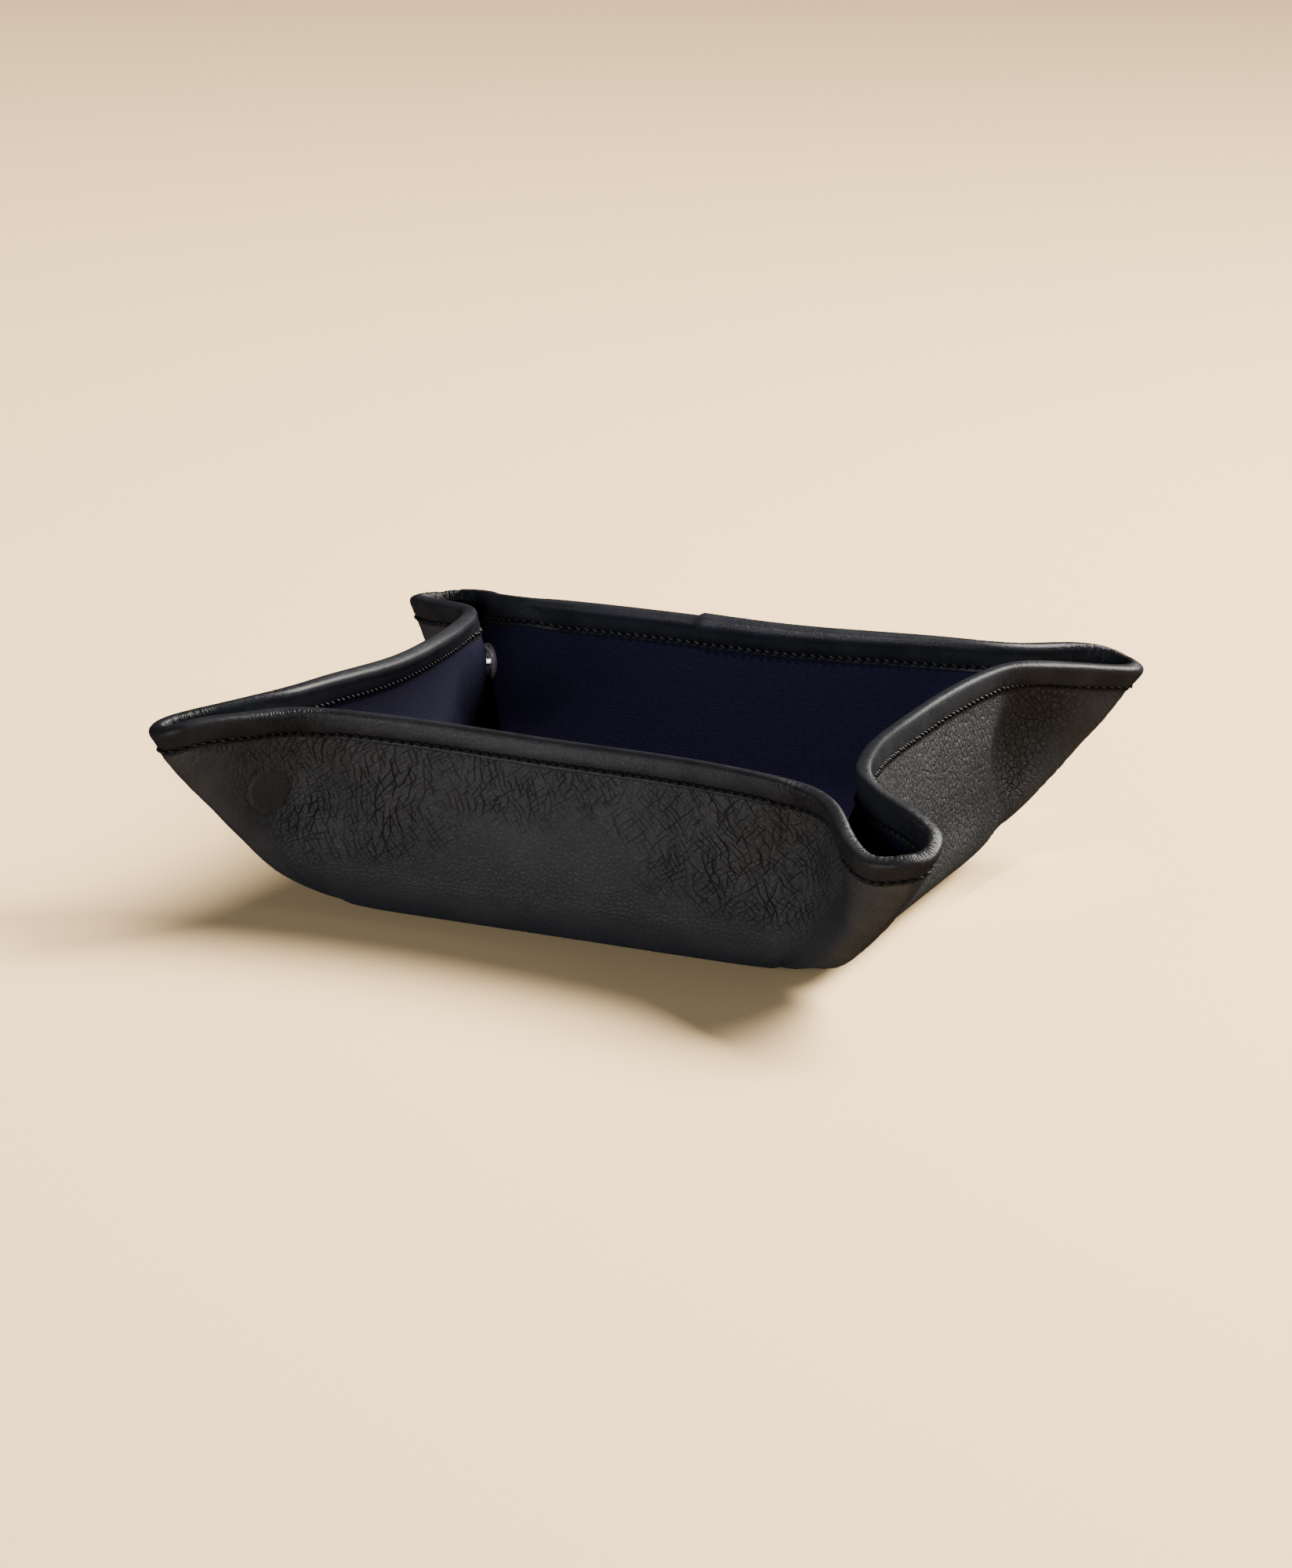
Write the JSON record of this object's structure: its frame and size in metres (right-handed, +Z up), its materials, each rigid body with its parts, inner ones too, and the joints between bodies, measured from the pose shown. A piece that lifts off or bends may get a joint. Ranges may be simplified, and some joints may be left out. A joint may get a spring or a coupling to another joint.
{
  "type": "valet tray",
  "caption": "Square leather valet tray with a canvas lining and bound rim, its corners pinched into ears by press studs; it opens out flat.",
  "frame": {"origin": "middle of the underside, on the surface that the tray stands on", "axes": "+Z up out of the open top, front wall towards -Y, +X to the right; the four sides are alike"},
  "size_m": [0.2164, 0.2164, 0.0609],
  "materials": {
    "pebbled_leather": "satin",
    "binding_leather": "satin",
    "canvas": "matte",
    "board": "matte",
    "nickel": "polished"
  },
  "bodies": {
    "base": {"base_leather": "pebbled_leather", "base_board": "board", "base_lining": "canvas"},
    "front_wall": {"front_wall_leather": "pebbled_leather", "front_wall_lining": "canvas", "front_wall_binding": "binding_leather"},
    "right_wall": {"right_wall_leather": "pebbled_leather", "right_wall_lining": "canvas", "right_wall_binding": "binding_leather"},
    "back_wall": {"back_wall_leather": "pebbled_leather", "back_wall_lining": "canvas", "back_wall_binding": "binding_leather"},
    "left_wall": {"left_wall_leather": "pebbled_leather", "left_wall_lining": "canvas", "left_wall_binding": "binding_leather"},
    "front_wall_right_ear": {"front_wall_right_ear_leather": "pebbled_leather", "front_wall_right_ear_lining": "canvas", "front_wall_right_ear_binding": "binding_leather", "front_right_snap_socket": "nickel", "front_right_snap_socket_plate": "nickel"},
    "front_wall_left_ear": {"front_wall_left_ear_leather": "pebbled_leather", "front_wall_left_ear_lining": "canvas", "front_wall_left_ear_binding": "binding_leather", "front_left_snap_stud": "nickel", "front_left_snap_stud_plate": "nickel"},
    "right_wall_back_ear": {"right_wall_back_ear_leather": "pebbled_leather", "right_wall_back_ear_lining": "canvas", "right_wall_back_ear_binding": "binding_leather", "back_right_snap_socket": "nickel", "back_right_snap_socket_plate": "nickel"},
    "right_wall_front_ear": {"right_wall_front_ear_leather": "pebbled_leather", "right_wall_front_ear_lining": "canvas", "right_wall_front_ear_binding": "binding_leather", "front_right_snap_stud": "nickel", "front_right_snap_stud_plate": "nickel"},
    "back_wall_left_ear": {"back_wall_left_ear_leather": "pebbled_leather", "back_wall_left_ear_lining": "canvas", "back_wall_left_ear_binding": "binding_leather", "back_left_snap_socket": "nickel", "back_left_snap_socket_plate": "nickel"},
    "back_wall_right_ear": {"back_wall_right_ear_leather": "pebbled_leather", "back_wall_right_ear_lining": "canvas", "back_wall_right_ear_binding": "binding_leather", "back_right_snap_stud": "nickel", "back_right_snap_stud_plate": "nickel"},
    "left_wall_front_ear": {"left_wall_front_ear_leather": "pebbled_leather", "left_wall_front_ear_lining": "canvas", "left_wall_front_ear_binding": "binding_leather", "front_left_snap_socket": "nickel", "front_left_snap_socket_plate": "nickel"},
    "left_wall_back_ear": {"left_wall_back_ear_leather": "pebbled_leather", "left_wall_back_ear_lining": "canvas", "left_wall_back_ear_binding": "binding_leather", "back_left_snap_stud": "nickel", "back_left_snap_stud_plate": "nickel"}
  },
  "joints": [
    {"name": "front_wall_fold", "type": "hinge", "parent": "base", "child": "front_wall", "pos_m": [0, -0.07011, 0.001], "axis": [1, 0, 0], "range_deg": [0, 84]},
    {"name": "right_wall_fold", "type": "hinge", "parent": "base", "child": "right_wall", "pos_m": [0.07011, 0, 0.001], "axis": [0, 1, 0], "range_deg": [0, 84]},
    {"name": "back_wall_fold", "type": "hinge", "parent": "base", "child": "back_wall", "pos_m": [0, 0.07011, 0.001], "axis": [-1, 0, 0], "range_deg": [0, 84]},
    {"name": "left_wall_fold", "type": "hinge", "parent": "base", "child": "left_wall", "pos_m": [-0.07011, 0, 0.001], "axis": [0, -1, 0], "range_deg": [0, 84]},
    {"name": "front_wall_right_ear_fold", "type": "hinge", "parent": "front_wall", "child": "front_wall_right_ear", "pos_m": [0.0649, -0.06801, 0.00021], "axis": [0.1178, -0.0705, 0.9905], "range_deg": [0, 45.35]},
    {"name": "front_wall_left_ear_fold", "type": "hinge", "parent": "front_wall", "child": "front_wall_left_ear", "pos_m": [-0.0649, -0.06801, 0.00021], "axis": [0.1178, 0.0705, -0.9905], "range_deg": [0, 45.35]},
    {"name": "right_wall_back_ear_fold", "type": "hinge", "parent": "right_wall", "child": "right_wall_back_ear", "pos_m": [0.06801, 0.0649, 0.00021], "axis": [0.0705, 0.1178, 0.9905], "range_deg": [0, 45.35]},
    {"name": "right_wall_front_ear_fold", "type": "hinge", "parent": "right_wall", "child": "right_wall_front_ear", "pos_m": [0.06801, -0.0649, 0.00021], "axis": [-0.0705, 0.1178, -0.9905], "range_deg": [0, 45.35]},
    {"name": "back_wall_left_ear_fold", "type": "hinge", "parent": "back_wall", "child": "back_wall_left_ear", "pos_m": [-0.0649, 0.06801, 0.00021], "axis": [-0.1178, 0.0705, 0.9905], "range_deg": [0, 45.35]},
    {"name": "back_wall_right_ear_fold", "type": "hinge", "parent": "back_wall", "child": "back_wall_right_ear", "pos_m": [0.0649, 0.06801, 0.00021], "axis": [-0.1178, -0.0705, -0.9905], "range_deg": [0, 45.35]},
    {"name": "left_wall_front_ear_fold", "type": "hinge", "parent": "left_wall", "child": "left_wall_front_ear", "pos_m": [-0.06801, -0.0649, 0.00021], "axis": [-0.0705, -0.1178, 0.9905], "range_deg": [0, 45.35]},
    {"name": "left_wall_back_ear_fold", "type": "hinge", "parent": "left_wall", "child": "left_wall_back_ear", "pos_m": [-0.06801, 0.0649, 0.00021], "axis": [0.0705, -0.1178, -0.9905], "range_deg": [0, 45.35]}
  ],
  "couplings": [
    {"joint": "front_wall_right_ear_fold", "follows": "front_wall_fold", "ratio": 0.53976},
    {"joint": "front_wall_left_ear_fold", "follows": "front_wall_fold", "ratio": 0.53976},
    {"joint": "right_wall_fold", "follows": "front_wall_fold", "ratio": 1},
    {"joint": "right_wall_back_ear_fold", "follows": "front_wall_fold", "ratio": 0.53976},
    {"joint": "right_wall_front_ear_fold", "follows": "front_wall_fold", "ratio": 0.53976},
    {"joint": "back_wall_fold", "follows": "front_wall_fold", "ratio": 1},
    {"joint": "back_wall_left_ear_fold", "follows": "front_wall_fold", "ratio": 0.53976},
    {"joint": "back_wall_right_ear_fold", "follows": "front_wall_fold", "ratio": 0.53976},
    {"joint": "left_wall_fold", "follows": "front_wall_fold", "ratio": 1},
    {"joint": "left_wall_front_ear_fold", "follows": "front_wall_fold", "ratio": 0.53976},
    {"joint": "left_wall_back_ear_fold", "follows": "front_wall_fold", "ratio": 0.53976}
  ]
}
